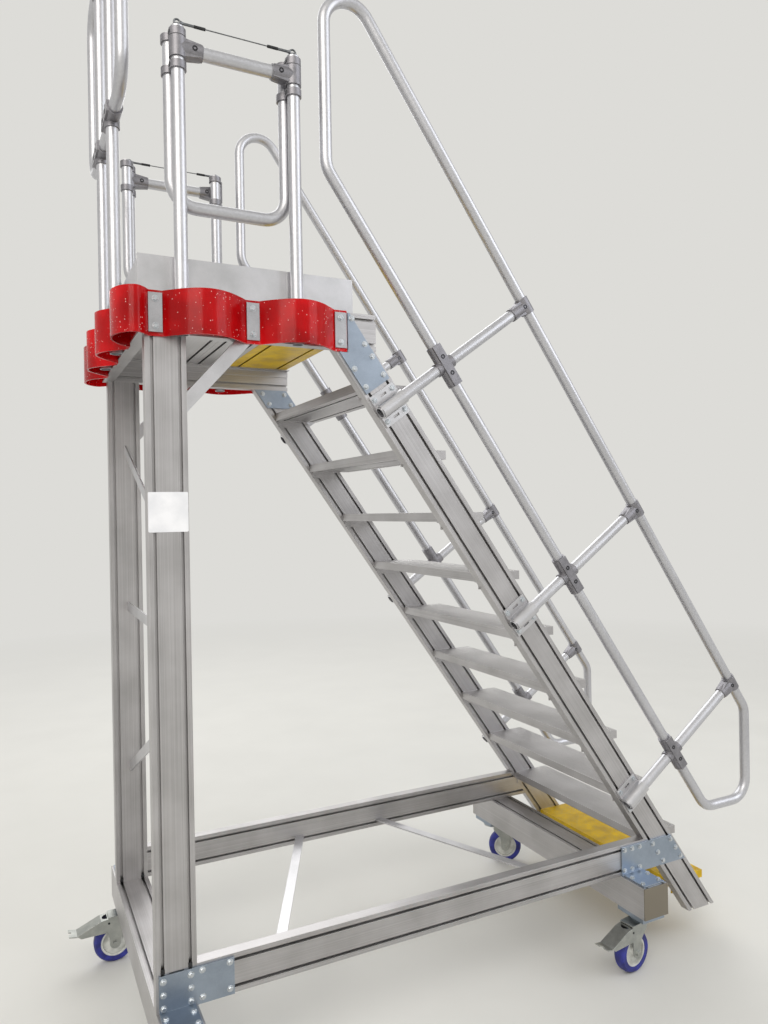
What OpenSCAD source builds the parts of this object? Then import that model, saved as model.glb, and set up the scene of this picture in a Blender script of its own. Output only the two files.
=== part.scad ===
// Mobile aircraft access stairs: fixed platform, bumper, guardrails and four braked castors.
// Millimetres, +Z up from the floor, +X from the aircraft end to the foot of the stair.

/* [Profiles] */
// Width of the slotted aluminium profile, across its two grooves
profile_w = 120; // [100:1:140]
// Thickness of the side profiles
profile_t = 40; // [34:1:50]
// Distance of each groove from the profile's edge
groove_inset = 20; // [18:1:24]
// Width of the groove's mouth
groove_mouth = 10; // [6:1:12]
// Width of the groove behind its mouth
groove_inner = 20; // [16:1:24]
// Depth of the groove
groove_depth = 12; // [9:1:13]
// Thickness of the lip at the groove's mouth
groove_lip = 5; // [3:0.5:6]
// Thickness of the profile's walls
profile_wall = 4; // [3:0.5:5]

/* [Frame] */
// Width over the two side frames
frame_w = 936; // [800:2:1100]
// Height of the cross beams under the side rails
cross_beam_h = 120; // [100:1:130]
// How far the cross beams run past the side frames
outrigger_l = 126; // [110:1:160]
// Distance from the front cross beam to the end of the side rails
front_beam_back = 88.6; // [60:0.1:110]
// Height of the deck above the floor
deck_h = 2451; // [2440:1:2470]
// Thickness of the bolted joint plates
plate_t = 6; // [4:0.5:8]
// How far the joint plates stay inside the profile's edges
plate_margin = 8; // [4:1:10]
// Distance between the bolt rows of the foot plates
plate_bolt_pitch = 39; // [34:1:39]
// Length of the foot plates along the side rails
foot_plate_l = 231; // [220:1:250]
// Length of the flat bars' bearing on the rails
brace_w = 36; // [25:1:45]
// Thickness of the flat bars
brace_t = 6; // [4:1:8]

/* [Stair] */
// Slope of the stair from the floor, degrees
stair_angle = 55; // [54:0.5:56]
// Number of treads, the deck not counted
tread_count = 10; // [9:1:10]
// Height of the lowest tread above the floor
bottom_tread_h = 241; // [230:1:250]
// Depth of a tread from rear edge to nose
tread_d = 190; // [180:1:210]
// Thickness of a tread
tread_t = 32; // [28:1:36]
// Wall of the tread's section
tread_wall = 3; // [2:0.5:4]
// Distance from the first tread's rear edge to the end of the platform beams
first_tread_back = 57; // [50:1:70]
// Height of the stringers' feet above the floor
stringer_foot = 112; // [90:1:120]

/* [Platform] */
// Where the platform beams end, from the posts' face
platform_l = 748; // [735:1:780]
// How far the platform beams run past the posts' face
platform_over = 15; // [10:1:20]
// Thickness of the deck planks
deck_t = 32; // [28:1:36]
// Width of one bare deck plank
plank_w = 155; // [150:1:158]
// Length of the yellow edge plank
yellow_plank_w = 255; // [240:1:265]
// Height of the toe-boards above the deck
toe_h = 110; // [90:1:150]
// Sheet thickness of the toe-boards
toe_t = 4; // [3:0.5:5]
// Distance of the side toe-boards' ends from the platform's end
toe_back = 80; // [60:1:110]
// Size of the square tube of the knee braces
knee_tube = 40; // [35:1:40]
// Horizontal length of the knee braces from the posts
knee_l = 180; // [160:1:220]
// Drop of the knee braces under the platform beams
knee_drop = 199; // [170:1:240]

/* [Bumper] */
// How far the lobes stand out
lobe_depth = 80; // [79:1:85]
// Sheet thickness of the bumper
bumper_t = 6; // [4:0.5:6]
// Distance of the first clamp strip from the posts' face
strip_start = 31; // [28:1:40]
// Distance of the last clamp strip from the platform's end
strip_back = 131; // [125:1:140]
// Width of the clamp strips
strip_w = 40; // [36:1:42]
// Thickness of the clamp strips
strip_t = 5; // [4:0.5:6]
// Height of the bumper
bumper_h = 134; // [125:1:140]
// How far the corner lobes stand out
corner_depth = 84; // [75:1:95]
// Distance of the clamp strips on the end from the middle
end_strip_y = 278; // [270:1:290]

/* [Tubes] */
// Outside diameter of the guardrail and handrail tube
tube_d = 40; // [38:0.5:41]
// Wall of the tube
tube_wall = 3; // [2:0.5:4]
// Distance of the tubes' centres from the frame's faces
tube_off = 26; // [25.5:0.5:28]
// Bend radius of the handrails, at the tube's centre
bend_r = 85; // [75:1:95]
// Outside diameter of the cast fittings' sleeves
sleeve_d = 50; // [48:0.5:52]
// Running clearance of a tube in a fitting, on the radius
fit_gap = 0.15; // [0.1:0.05:0.25]

/* [Handrails] */
// Distance of the lower rail from the stringer's rear edge
lower_rail_off = 306; // [290:1:330]
// Distance of the upper rail from the stringer's rear edge
upper_rail_off = 727; // [700:1:750]
// Distance of the handrail's vertical leg from the platform's end
handrail_leg_back = 179; // [160:1:190]
// How far the handrail's front leg stands past the stair's foot
handrail_front_over = 240; // [220:1:260]
// Height of the handrail's lower end above the floor
handrail_foot_z = 541; // [530:1:560]
// Slope length from the floor to the first outrigger
outrigger_first = 764; // [740:1:780]
// Slope distance from the top outrigger to the top joint plate
outrigger_top_gap = 73; // [66:1:90]
// Length of the outrigger brackets across the stringer
bracket_l = 104; // [90:1:110]

/* [Guardrails] */
// Distance of the first side guardrail post from the frame posts' face
side_post_1 = 106; // [100:1:115]
// Distance of the second side guardrail post from the platform's end
side_post_back = 284; // [278:1:298]
// Height of the side guardrail posts above the deck
side_post_h = 778; // [740:1:820]
// Height of the side top rail's centre above the deck
side_rail_h = 716; // [690:1:730]
// Height of the bottom of the U-shaped mid-rail above the deck
u_bottom_h = 270; // [240:1:300]
// Bend radius of the U-shaped mid-rail, at the tube's centre
u_bend_r = 75; // [65:1:85]
// How far a U leg stands towards the deck from its post, centre to centre
u_in = 44; // [43:0.5:48]
// How far a U leg stands towards the aircraft end from its post
u_back = 16; // [12:1:20]
// Distance of the end guardrail posts from the middle
end_post_y = 144; // [130:1:150]
// Height of the end loop's lower bar above the deck
end_mid_h = 645; // [620:1:670]
// Height of the end loop's upper bar above the deck
end_top_h = 1270; // [1240:1:1300]
// Distance of the end loop's legs from the middle
end_leg_y = 390; // [380:1:395]
// Bend radius of the end loop, at the tube's centre
end_bend_r = 95; // [80:1:110]

/* [Castors] */
// Diameter of the wheels
wheel_d = 160; // [150:1:165]
// Width of the tyres
tyre_w = 44; // [38:1:48]
// Radial thickness of the tyres
tyre_t = 25; // [18:1:28]
// Height from the floor to the underside of the cross beams
castor_h = 222; // [215:1:230]
// Trail of the wheel behind the swivel axis
castor_trail = 62; // [55:1:66]
// Distance of the swivel axes outside the side frames
swivel_out = 43; // [40:1:56]
// Radius of the fork legs' rounded ends
leg_r = 21; // [18:1:24]
// Distance from a wheel's axle to the tip of its brake pedal
pedal_reach = 172; // [165:1:180]
// Diameter of the wheel axles
axle_d = 12; // [10:1:14]
// Radial clearance of a wheel on its axle
axle_gap = 0.08; // [0.05:0.01:0.1]

/* [Hidden] */
$fn = 48;

// A cut runs this far past the face it opens
over = 1;
// The climber's left is -Y
left = -1;
right = 1;

// Heights
beam_bottom_z = castor_h;
rail_z = castor_h + cross_beam_h;
rail_top_z = rail_z + profile_w;
platform_z = deck_h - profile_w;
side_y = frame_w / 2;
inner_y = side_y - profile_t;

tube_r = tube_d / 2;

// The stair's rear line meets the floor at stair_foot_x
run_per_rise = 1 / tan(stair_angle);
tread_rise = (deck_h - bottom_tread_h) / tread_count;
first_tread_x = platform_l - first_tread_back;
first_tread_z = deck_h - tread_rise;
tread_going = tread_rise * run_per_rise;
stair_foot_x = first_tread_x + first_tread_z * run_per_rise - groove_inset / sin(stair_angle);
stringer_l = (deck_h + profile_w) / sin(stair_angle);
front_beam_x = rear_line_x(rail_z) - profile_w - front_beam_back;
handrail_leg_x = platform_l - handrail_leg_back;
handrail_front_x = stair_foot_x + handrail_front_over;
// Middle of the whole length, so that the origin stands under the middle of the box
mid_x = (handrail_front_x + tube_r + profile_w / 2 - castor_trail - pedal_reach) / 2;

// Castor corners: name, side of the swivel axis along X, side, direction of the trail in degrees
CORNERS = [
    ["rear_left", profile_w / 2, left, 180],
    ["rear_right", profile_w / 2, right, 180],
    ["front_left", front_beam_x + profile_w / 2, left, 188],
    ["front_right", front_beam_x + profile_w / 2, right, -30]
];

aluminium = "#c9cacb";
bright = "#dcdddf";
cast_grey = "#8d9094";
zinc = "#aab7c4";
yellow = "#e3b81c";
bumper_red = "#c8141c";
tyre_blue = "#2b2f86";
hub_grey = "#d6d8d6";

module place() {
    translate([-mid_x, 0, 0]) children();
}

// Mirrors a piece drawn for the right side to the given side
module on_side(side) {
    if (side == right) children();
    else mirror([0, 1, 0]) children();
}

module both_sides() {
    for (side = [left, right]) on_side(side) children();
}

// Local X runs down the slope from the stringer's foot line, local Z is square to it
module on_stair() {
    translate([stair_foot_x, 0, 0]) rotate([0, stair_angle, 0]) children();
}

function rear_line_x(z) = stair_foot_x - z * run_per_rise;
function front_line_x(z) = rear_line_x(z) + profile_w / sin(stair_angle);
function slope_point(s, off) = [
    stair_foot_x - s * cos(stair_angle) + off * sin(stair_angle),
    s * sin(stair_angle) + off * cos(stair_angle)
];

// Slotted profile

module groove() {
    translate([-groove_mouth / 2, -groove_lip - over]) square([groove_mouth, groove_lip + 2 * over]);
    translate([-groove_inner / 2, -groove_depth])
        square([groove_inner, groove_depth - groove_lip]);
}

// Section from y = 0 to w and x = 0 to t, with two grooves in each wide face
module profile_section(t) {
    middle = profile_w - 2 * groove_inset - groove_inner - 2 * profile_wall;
    core = t - 2 * groove_depth - 2 * profile_wall;
    difference() {
        square([t, profile_w]);
        for (y = [groove_inset, profile_w - groove_inset]) {
            translate([t, y]) rotate(-90) groove();
            translate([0, y]) rotate(90) groove();
            if (core > 2 * profile_wall)
                translate([t / 2 - core / 2, y - groove_inner / 2]) square([core, groove_inner]);
        }
        translate([profile_wall, profile_w / 2 - middle / 2])
            square([t - 2 * profile_wall, middle]);
    }
}

// Profile along X, its width up, its thickness inwards from y = 0 to -t
module profile_x(length, t = profile_t) {
    rotate([90, 0, 90]) mirror([1, 0, 0]) linear_extrude(length) profile_section(t);
}

beam_cap_t = 4;
module cross_beam(x) {
    half = side_y + outrigger_l;
    inset = beam_cap_t + fit_gap;
    color(aluminium) place() translate([x, 0, beam_bottom_z]) {
        translate([0, inset - half, 0]) rotate([-90, -90, 0])
            linear_extrude(2 * half - 2 * inset) profile_section(cross_beam_h);
        for (y = [-half, half - beam_cap_t]) translate([0, y, 0])
            cube([profile_w, beam_cap_t, cross_beam_h]);
    }
}

module side_rail(side) {
    color(aluminium) place() on_side(side)
        difference() {
            translate([profile_w, side_y, rail_z])
                profile_x(rear_line_x(rail_z) - profile_w);
            on_stair() translate([-stringer_l, 0, 0]) cube([2 * stringer_l, frame_w, stringer_l]);
        }
}

module post(side) {
    color(aluminium) place() on_side(side)
        translate([profile_w, side_y, rail_z]) rotate([0, -90, 0])
            profile_x(platform_z - rail_z);
}

module flat_bar(from, to, width, t) {
    run = to - from;
    translate(from) rotate([0, 0, atan2(run[1], run[0])]) translate([0, -width / 2, 0])
        cube([norm(run), width, t]);
}

// Flat bars between the side rails, in plan: [x at the right rail, x at the left rail]
base_brace_table = [[769, 378], [1156, 1530]];
module base_braces() {
    color(aluminium) place() intersection() {
        translate([0, -inner_y, 0]) cube([front_beam_x, 2 * inner_y, rail_top_z]);
        union() for (bar = base_brace_table)
            translate([0, 0, rail_z + groove_inset + groove_mouth / 2])
                flat_bar([bar[0] + (bar[0] - bar[1]) / 8, inner_y * 5 / 4],
                    [bar[1] - (bar[0] - bar[1]) / 8, -inner_y * 5 / 4], brace_w, brace_t);
    }
}

// Flat bars between the posts: [height at the right post, height at the left post]
post_brace_table = [[2057, 1709], [1435, 1435], [796, 1179]];
module post_braces() {
    color(aluminium) place() intersection() {
        translate([0, -inner_y, 0]) cube([profile_w, 2 * inner_y, deck_h]);
        translate([profile_w / 2, 0, 0]) rotate([90, 0, 90])
            union() for (bar = post_brace_table)
                flat_bar([-inner_y * 5 / 4, bar[1] - (bar[0] - bar[1]) / 8],
                    [inner_y * 5 / 4, bar[0] + (bar[0] - bar[1]) / 8], brace_w, brace_t);
    }
}

module knee_braces() {
    length = norm([knee_l, knee_drop]);
    angle = atan2(knee_drop, knee_l);
    color(aluminium) place() both_sides()
        intersection() {
            translate([profile_w, side_y - profile_t, platform_z - 2 * knee_drop])
                cube([2 * knee_l, profile_t, 2 * knee_drop]);
            translate([profile_w, side_y - profile_t / 2, platform_z - knee_drop])
                rotate([0, -angle, 0]) translate([-length / 2, 0, 0])
                    rotate([90, 0, 90]) linear_extrude(2 * length) difference() {
                        square(knee_tube, center = true);
                        square(knee_tube - 2 * tube_wall, center = true);
                    }
        }
}

// Platform

module platform_beam(side) {
    color(aluminium) place() on_side(side)
        translate([-platform_over, side_y, platform_z]) profile_x(platform_l + platform_over);
}

module platform_end_beam() {
    color(aluminium) place()
        translate([-platform_over, -inner_y, platform_z]) rotate([0, 0, 90]) profile_x(2 * inner_y);
}

ledge_w = 30;
deck_x = profile_t - platform_over;
module deck_ledges() {
    color(aluminium) place() both_sides()
        translate([deck_x, inner_y, deck_h - deck_t]) rotate([90, 0, 90])
            linear_extrude(platform_l - deck_x) polygon([
                [0, 0], [-ledge_w, 0], [-ledge_w, -profile_wall], [-profile_wall, -profile_wall],
                [-profile_wall, -ledge_w], [0, -ledge_w]]);
}

// Plank section: a ribbed top skin over three webs, with two grooves open below
module plank_section(depth, t, wall) {
    web_count = 4;
    pitch = (depth - wall) / (web_count - 1);
    rib_pitch = 10;
    difference() {
        square([depth, t]);
        for (i = [0:web_count - 2])
            translate([wall + i * pitch, wall]) square([pitch - wall, t - 2 * wall - 1]);
        for (i = [0, 2])
            translate([wall + i * pitch + (pitch - wall) / 2 - groove_mouth / 2, -over])
                square([groove_mouth, wall + 2 * over]);
        for (x = [rib_pitch:rib_pitch:depth - rib_pitch])
            translate([x - 2, t - 1]) square([4, 1 + over]);
    }
}

module plank(depth, t, width) {
    rotate([90, 0, 0]) translate([0, -t, -width / 2])
        linear_extrude(width) plank_section(depth, t, tread_wall);
}

yellow_plank_x = platform_l - yellow_plank_w - 15;
deck_gap = 1;
plank_count = round((yellow_plank_x - deck_x) / plank_w);
module deck_planks() {
    pitch = (yellow_plank_x - deck_x) / plank_count;
    color(aluminium) place() for (i = [0:plank_count - 1])
        translate([deck_x + deck_gap + i * pitch, 0, deck_h])
            plank(pitch - deck_gap, deck_t, 2 * inner_y - 2 * deck_gap);
}

module deck_yellow_edge() {
    color(yellow) place() translate([yellow_plank_x + deck_gap, 0, deck_h])
        plank(yellow_plank_w, deck_t, 2 * inner_y - 2 * deck_gap);
}

// Toe-board section: foot flange, sheet and folded top edge
toe_foot = 26;
toe_hem = 12;
toe_in = 8;
toe_end_y = inner_y + toe_in - 1;
module toe_section() {
    polygon([[0, 0], [toe_foot, 0], [toe_foot, toe_t], [toe_t, toe_t], [toe_t, toe_h - toe_t],
        [toe_hem, toe_h - toe_t], [toe_hem, toe_h], [0, toe_h]]);
}

toe_joint_x = 441;
module toe_boards() {
    color(bright) place() {
        both_sides() for (span = [[-platform_over, toe_joint_x - 1], [toe_joint_x + 1, platform_l - toe_back]])
            translate([span[0], inner_y + toe_foot + toe_in, deck_h]) rotate([90, 0, 90])
                mirror([1, 0, 0]) linear_extrude(span[1] - span[0]) toe_section();
        translate([deck_x - toe_foot - toe_in, toe_end_y, deck_h]) rotate([90, 0, 0])
            linear_extrude(2 * toe_end_y) toe_section();
    }
}

// Bumper

lobe_pitch = (platform_l - strip_start - strip_back) / 2;
side_strips = [for (i = [0:2]) strip_start + i * lobe_pitch];
end_strips = [-end_strip_y, 0, end_strip_y];
bumper_top_z = deck_h + 3;
trough_y = side_y + 0.3;
trough_x = -platform_over - 0.3;
flat = strip_w / 2 + 3;

// Lobes in order, right side first: start, corner, end, direction at start and end, depth, power
START = 0;
CORNER = 1;
END = 2;
TURN_0 = 3;
TURN_1 = 4;
DEPTH = 5;
POWER = 6;
right_lobes = [
    for (i = [2, 1]) let (a = [side_strips[i] - flat, trough_y],
        b = [side_strips[i - 1] + flat, trough_y]) [a, a, b, 90, 90, lobe_depth, 1],
    [[side_strips[0] - flat, trough_y], [trough_x, trough_y], [trough_x, end_strip_y + flat],
        90, 180, corner_depth, 0.8],
    let (a = [trough_x, end_strip_y - flat]) [a, a, [trough_x, flat], 180, 180, lobe_depth, 1]
];
lobe_steps = 16;
// A point on a lobe: along its base, pushed out by its depth
function lobe_point(lobe, t) = let (
    l1 = norm(lobe[CORNER] - lobe[START]),
    l2 = norm(lobe[END] - lobe[CORNER]),
    s = t * (l1 + l2),
    base = s < l1 ? lobe[START] + (lobe[CORNER] - lobe[START]) * s / l1
        : lobe[CORNER] + (lobe[END] - lobe[CORNER]) * (s - l1) / l2,
    a = lobe[TURN_0] + t * (lobe[TURN_1] - lobe[TURN_0]))
    base + lobe[DEPTH] * pow(sin(180 * t), lobe[POWER]) * [cos(a), sin(a)];
strip_tail = [side_strips[2] + flat, trough_y];
bumper_half = concat([strip_tail],
    [for (lobe = right_lobes, k = [0:lobe_steps]) lobe_point(lobe, k / lobe_steps)],
    [[trough_x, 0]]);
function flip(points) = [for (i = [len(points) - 1:-1:0]) [points[i][0], -points[i][1]]];
function tail(points) = [for (i = [1:len(points) - 1]) points[i]];
bumper_line = concat(bumper_half, tail(flip(bumper_half)));

function unit(v) = v / norm(v);
function normal_at(p, i) = let (
    a = p[max(i - 1, 0)], b = p[min(i + 1, len(p) - 1)], d = unit(b - a)) [d[1], -d[0]];
function shift_line(p, t) = [for (i = [0:len(p) - 1]) p[i] + t * normal_at(p, i)];

module bumper() {
    outer = shift_line(bumper_line, bumper_t);
    color(bumper_red) place() translate([0, 0, bumper_top_z - bumper_h])
        linear_extrude(bumper_h) polygon(concat(bumper_line,
            [for (i = [len(outer) - 1:-1:0]) outer[i]]));
}

strip_h = profile_w - 5;
strip_z = platform_z;
strip_gap = 0.3;
module bumper_strip() {
    difference() {
        translate([-strip_w / 2, 0, 0]) cube([strip_w, strip_t, strip_h]);
        for (z = [18, strip_h - 18])
            translate([0, -over, z]) rotate([-90, 0, 0]) cylinder(d = 9, h = strip_t + 2 * over);
    }
}

module bumper_strips() {
    color(bright) place() {
        both_sides() for (x = side_strips)
            translate([x, trough_y + bumper_t + strip_gap, strip_z]) bumper_strip();
        for (y = end_strips)
            translate([trough_x - bumper_t - strip_gap, y, strip_z]) rotate([0, 0, 90])
                bumper_strip();
    }
}

// Tubes

module pipe(length) {
    difference() {
        cylinder(d = tube_d, h = length);
        translate([0, 0, -over]) cylinder(d = tube_d - 2 * tube_wall, h = length + 2 * over);
    }
}

// A hardly raised seam joins each bend to its straights
seam = 0.2;
seam_l = 2;
// A rod along a flat path of corner points, with round bends; closed if asked
module bent_rod(path, bend, closed) {
    n = len(path);
    first = closed ? 0 : 1;
    last = closed ? n - 1 : n - 2;
    for (i = [first:last]) {
        p = path[i];
        u = unit(path[(i + n - 1) % n] - p);
        v = unit(path[(i + 1) % n] - p);
        half = acos(u * v) / 2;
        mid = p + unit(u + v) * bend / sin(half);
        start = p + u * bend / tan(half) - mid;
        turn = 180 - 2 * half;
        turns_left = u[0] * v[1] - u[1] * v[0] < 0;
        translate([mid[0], mid[1], 0]) rotate(atan2(start[1], start[0]) - (turns_left ? 0 : turn)) {
            rotate_extrude(angle = turn) translate([bend, 0]) circle(d = tube_d);
            for (a = [0, turn]) rotate(a) translate([bend, 0, 0]) rotate([90, 0, 0])
                cylinder(d = tube_d + seam, h = seam_l, center = true);
        }
    }
    for (i = [0:closed ? n - 1 : n - 2]) {
        a = path[i];
        b = path[(i + 1) % n];
        cut_a = trim(path, i, bend, closed);
        cut_b = trim(path, (i + 1) % n, bend, closed);
        d = unit(b - a);
        translate([a[0] + d[0] * cut_a, a[1] + d[1] * cut_a, 0])
            rotate([0, 90, atan2(d[1], d[0])]) cylinder(d = tube_d, h = norm(b - a) - cut_a - cut_b);
    }
}

function trim(path, i, bend, closed) = let (n = len(path))
    !closed && (i == 0 || i == n - 1) ? 0
        : let (u = unit(path[(i + n - 1) % n] - path[i]), v = unit(path[(i + 1) % n] - path[i]))
            bend / tan(acos(u * v) / 2);

// Side guardrails

rail_side_y = side_y + tube_off - 4;
guard_z0 = platform_z;
side_post_2 = platform_l - side_post_back;
side_posts = [side_post_1, side_post_2];

module guard_posts() {
    color(bright) place() both_sides() for (x = side_posts)
        translate([x, rail_side_y, guard_z0]) pipe(deck_h + side_post_h - guard_z0);
}

tee_reach = 72;
tee_stop = tube_r + 5;
tee_h = 60;
module guard_top_rails() {
    color(bright) place() both_sides()
        translate([side_post_1 + tee_stop, rail_side_y, deck_h + side_rail_h]) rotate([0, 90, 0])
            pipe(side_post_2 - side_post_1 - 2 * tee_stop);
}

u_leg_top = side_post_h - 4;
module guard_u_rails() {
    a = side_post_1 - u_back;
    b = side_post_2 - u_back;
    z0 = deck_h + u_bottom_h;
    z1 = deck_h + u_leg_top;
    color(bright) place() both_sides() translate([0, rail_side_y - u_in, 0]) rotate([90, 0, 0])
        bent_rod([[a, z1], [a, z0], [b, z0], [b, z1]], u_bend_r, false);
}

// Cast tee: a sleeve on the tube that runs through, a socket for the one that ends, a web between
tee_web = 34;
module tee(length) {
    difference() {
        union() {
            translate([0, 0, -length / 2]) cylinder(d = sleeve_d, h = length);
            rotate([0, 90, 0]) cylinder(d = sleeve_d - 2, h = tee_reach);
            rotate([90, 0, 0]) translate([0, 0, -tee_web / 2]) linear_extrude(tee_web)
                polygon([[0, -length / 2 + 1], [tee_reach - 4, -tube_r + 1],
                    [tee_reach - 4, tube_r - 1], [0, length / 2 - 1]]);
        }
        translate([0, 0, -length / 2 - over]) cylinder(d = tube_d + 2 * fit_gap, h = length + 2 * over);
        translate([tee_stop - 0.3, 0, 0]) rotate([0, 90, 0])
            cylinder(d = tube_d + 2 * fit_gap, h = tee_reach);
    }
}

// Double clamp round a post and the U leg behind it
clamp_h = 22;
clamp_neck = 30;
module u_clamp() {
    turn = atan2(-u_in, -u_back);
    linear_extrude(clamp_h) difference() {
        union() {
            circle(d = sleeve_d);
            translate([-u_back, -u_in]) circle(d = sleeve_d);
            rotate(turn) translate([0, -clamp_neck / 2])
                square([norm([u_back, u_in]), clamp_neck]);
        }
        for (at = [[0, 0], [-u_back, -u_in]]) translate(at) circle(d = tube_d + 2 * fit_gap);
    }
}

// Block that seats a guard post on the platform beam
post_seat_h = 70;
post_seat_w = 30;
module post_seat(off) {
    translate([0, 0, -profile_w / 2 - post_seat_h / 2]) difference() {
        translate([-post_seat_w / 2, -off, 0]) cube([post_seat_w, off - 4, post_seat_h]);
        translate([0, 0, -over]) cylinder(d = tube_d + 2 * fit_gap, h = post_seat_h + 2 * over);
    }
}

module guard_fittings() {
    color(cast_grey) place() both_sides() translate([0, rail_side_y, deck_h]) {
        translate([side_post_1, 0, side_rail_h]) tee(tee_h);
        translate([side_post_2, 0, side_rail_h]) mirror([1, 0, 0]) tee(tee_h);
        for (x = side_posts) translate([x, 0, 0]) {
            post_seat(tube_off - 4);
            for (z = [side_rail_h - tee_h / 2 - 12 - clamp_h, side_rail_h + tee_h / 2 + 2])
                translate([0, 0, z]) u_clamp();
        }
    }
}

// End guardrail

end_x = -platform_over - tube_off + 4;
cross_reach = 36;
cross_stop = tube_r + 3;
cross_h = 154;
cross_pad_w = 34;
cross_pad_out = 1.5;
module end_guard_posts() {
    spans = [
        [guard_z0, deck_h + end_mid_h - cross_stop],
        [deck_h + end_mid_h + cross_stop, deck_h + end_top_h - tee_stop]
    ];
    color(bright) place() for (y = [-end_post_y, end_post_y], span = spans)
        translate([end_x, y, span[0]]) pipe(span[1] - span[0]);
}

module end_guard_loop() {
    z0 = deck_h + end_mid_h;
    z1 = deck_h + end_top_h;
    color(bright) place() translate([end_x, 0, 0]) rotate([90, 0, 90])
        bent_rod([[-end_leg_y, z0], [end_leg_y, z0], [end_leg_y, z1], [-end_leg_y, z1]],
            end_bend_r, true);
}

// Cast cross: a rail runs through along Z, two tubes end in it along X, a flat pad faces +Y
module cross_fitting() {
    difference() {
        union() {
            translate([0, 0, -cross_h / 2]) linear_extrude(cross_h) {
                circle(d = sleeve_d);
                translate([-cross_pad_w / 2, 0]) square([cross_pad_w, sleeve_d / 2 + cross_pad_out]);
            }
            for (a = [90, -90]) rotate([0, a, 0]) cylinder(d = sleeve_d - 2, h = cross_reach);
        }
        translate([0, 0, -cross_h / 2 - over])
            cylinder(d = tube_d + 2 * fit_gap, h = cross_h + 2 * over);
        for (a = [90, -90]) rotate([0, a, 0]) translate([0, 0, cross_stop - 0.3])
            cylinder(d = tube_d + 2 * fit_gap, h = cross_reach);
    }
}

module end_guard_fittings() {
    color(cast_grey) place() for (y = [-end_post_y, end_post_y]) {
        translate([end_x, y, deck_h]) rotate([0, 0, 90]) post_seat(tube_off - 4);
        translate([end_x, y, deck_h + end_mid_h]) rotate([0, 0, 90]) rotate([0, 90, 0])
            cross_fitting();
        translate([end_x, y, deck_h + end_top_h]) rotate([0, 0, 90]) rotate([0, 90, 0]) tee(tee_h);
    }
}

// Stair

module stringer(side) {
    color(aluminium) place() on_side(side) intersection() {
        translate([0, 0, stringer_foot]) cube([2 * stringer_l, frame_w, platform_z - stringer_foot]);
        on_stair() translate([-stringer_l, side_y, 0]) profile_x(stringer_l);
    }
}

bracket_leg = 28;
function tread_x(i) = first_tread_x + (i - 1) * tread_going;
function tread_z(i) = deck_h - i * tread_rise;

// A tread with an end plate and an angle bracket under each end
module tread(i) {
    end_t = 4;
    translate([tread_x(i), 0, tread_z(i)]) {
        plank(tread_d, tread_t, 2 * inner_y - 2 * end_t);
        both_sides() translate([0, inner_y - end_t, 0]) {
            translate([0, 0, -tread_t]) cube([tread_d, end_t, tread_t]);
            translate([groove_inset / 2, 0, -tread_t - bracket_leg])
                cube([tread_d * 0.55, end_t, bracket_leg]);
            translate([groove_inset / 2, end_t - bracket_leg, -tread_t - end_t])
                cube([tread_d * 0.55, bracket_leg, end_t]);
        }
    }
}

module treads() {
    color(aluminium) place() for (i = [1:tread_count - 1]) tread(i);
}

module bottom_tread() {
    color(yellow) place() tread(tread_count);
}

// Joint plates

module bolt_holes(points) {
    for (p = points) translate([p[0], p[1], -over]) cylinder(d = 9, h = plate_t + 2 * over);
}

module plate_with_holes(outline, holes) {
    translate([0, side_y + plate_t, 0]) rotate([90, 0, 0]) difference() {
        linear_extrude(plate_t) polygon(outline);
        bolt_holes(holes);
    }
}

// Tab bent flat over the end of a cross beam
module beam_tab(x0) {
    translate([x0 + plate_margin, side_y, rail_z])
        cube([profile_w - 2 * plate_margin, outrigger_l - plate_margin, plate_t]);
}

// Bolt rows in the rails' grooves, and three rows for the upright or sloping profile
rail_rows = [rail_z + groove_inset, rail_top_z - groove_inset];
foot_rows = [for (i = [-1:1]) rail_z + (profile_w - plate_margin) / 2 + i * plate_bolt_pitch];
bolt_edge = 14;

module post_foot_plate() {
    top = rail_top_z - plate_margin;
    a = plate_margin;
    b = foot_plate_l;
    plate_with_holes([[a, rail_z], [b, rail_z], [b, top], [a, top]], concat(
        [for (x = [groove_inset, profile_w - groove_inset], z = foot_rows) [x, z]],
        [for (x = [profile_w + bolt_edge, b - bolt_edge], z = rail_rows) [x, z]]));
    beam_tab(0);
}

module stair_foot_plate() {
    top = rail_top_z - plate_margin;
    a = front_beam_x + 3;
    b = front_line_x(rail_z) - plate_margin - 2;
    c = front_line_x(top) - plate_margin - 2;
    plate_with_holes([[a, rail_z], [b, rail_z], [c, top], [a, top]], concat(
        [for (i = [0:2], z = rail_rows) [a + bolt_edge + i * plate_bolt_pitch, z]],
        [for (z = foot_rows, off = [groove_inset, profile_w - groove_inset])
            [rear_line_x(z) + off / sin(stair_angle), z]]));
    beam_tab(front_beam_x);
}

top_plate_drop = 185;
top_plate_low = platform_z / sin(stair_angle) - top_plate_drop;
top_bolt_pitch = 70;
strip_clear_x = side_strips[2] + flat + 4;
module top_joint_plate() {
    m = plate_margin;
    z_low = bumper_top_z - bumper_h - 1;
    z_top = deck_h - 3;
    low_rear = slope_point(top_plate_low, m);
    low_front = slope_point(top_plate_low, profile_w - m);
    rear_at = rear_line_x(z_low) + m / sin(stair_angle);
    front_at = front_line_x(z_top) - m / sin(stair_angle);
    plate_with_holes([low_rear, low_front, [front_at, z_top], [strip_clear_x, z_top],
        [strip_clear_x, z_low], [rear_at, z_low]], concat(
        [for (i = [0, 1], off = [groove_inset, profile_w - groove_inset])
            slope_point(top_plate_low + bolt_edge + 8 + i * top_bolt_pitch, off)],
        [[strip_clear_x + bolt_edge, deck_h - groove_inset],
            [strip_clear_x + bolt_edge + 46, platform_z + groove_inset]]));
}

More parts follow.
